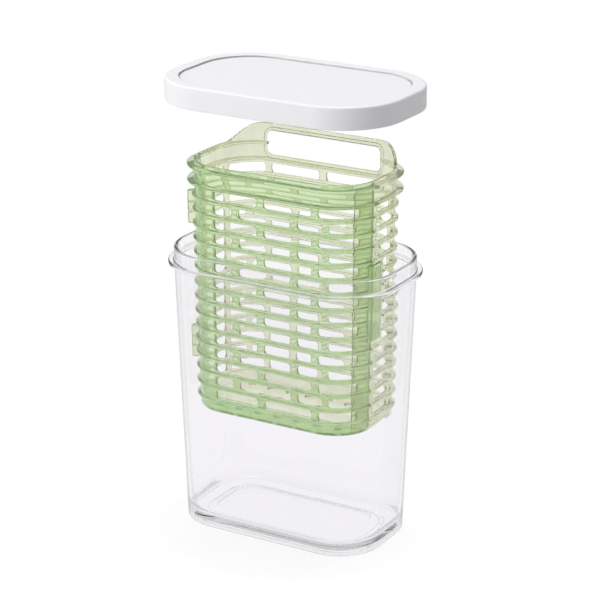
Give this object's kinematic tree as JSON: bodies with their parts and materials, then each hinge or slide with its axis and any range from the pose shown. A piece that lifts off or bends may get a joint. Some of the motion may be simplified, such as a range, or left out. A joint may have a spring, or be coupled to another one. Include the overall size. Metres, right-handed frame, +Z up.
{
  "type": "herb keeper",
  "caption": "Tall clear container with a slotted lift-out basket, whose handle and hinged front stand inside, closed by a flat lid that plugs the neck.",
  "frame": {"origin": "middle of the container's foot, on the surface it stands on", "axes": "+Z up, +X to the right along the long side, -Y to the front, where the basket's hinged half is"},
  "size_m": [0.1498, 0.0968, 0.2746],
  "materials": {
    "clear_plastic": "clear, glossy",
    "green_plastic": "translucent, glossy",
    "white_plastic": "satin",
    "seal_rubber": "satin silicone"
  },
  "bodies": {
    "container": {"container": "clear_plastic"},
    "basket": {"basket_back": "green_plastic", "basket_front": "green_plastic"},
    "lid": {"lid_cover": "white_plastic", "lid_liner": "white_plastic", "lid_seal": "seal_rubber"}
  },
  "joints": [
    {"name": "basket_lift", "type": "slide", "parent": "container", "child": "basket", "axis": [0, 0, 1], "range_m": [-0.067, 0.105]},
    {"name": "lid_lift", "type": "slide", "parent": "basket", "child": "lid", "axis": [0, 0, 1], "range_m": [-0.03, 0.04]}
  ]
}
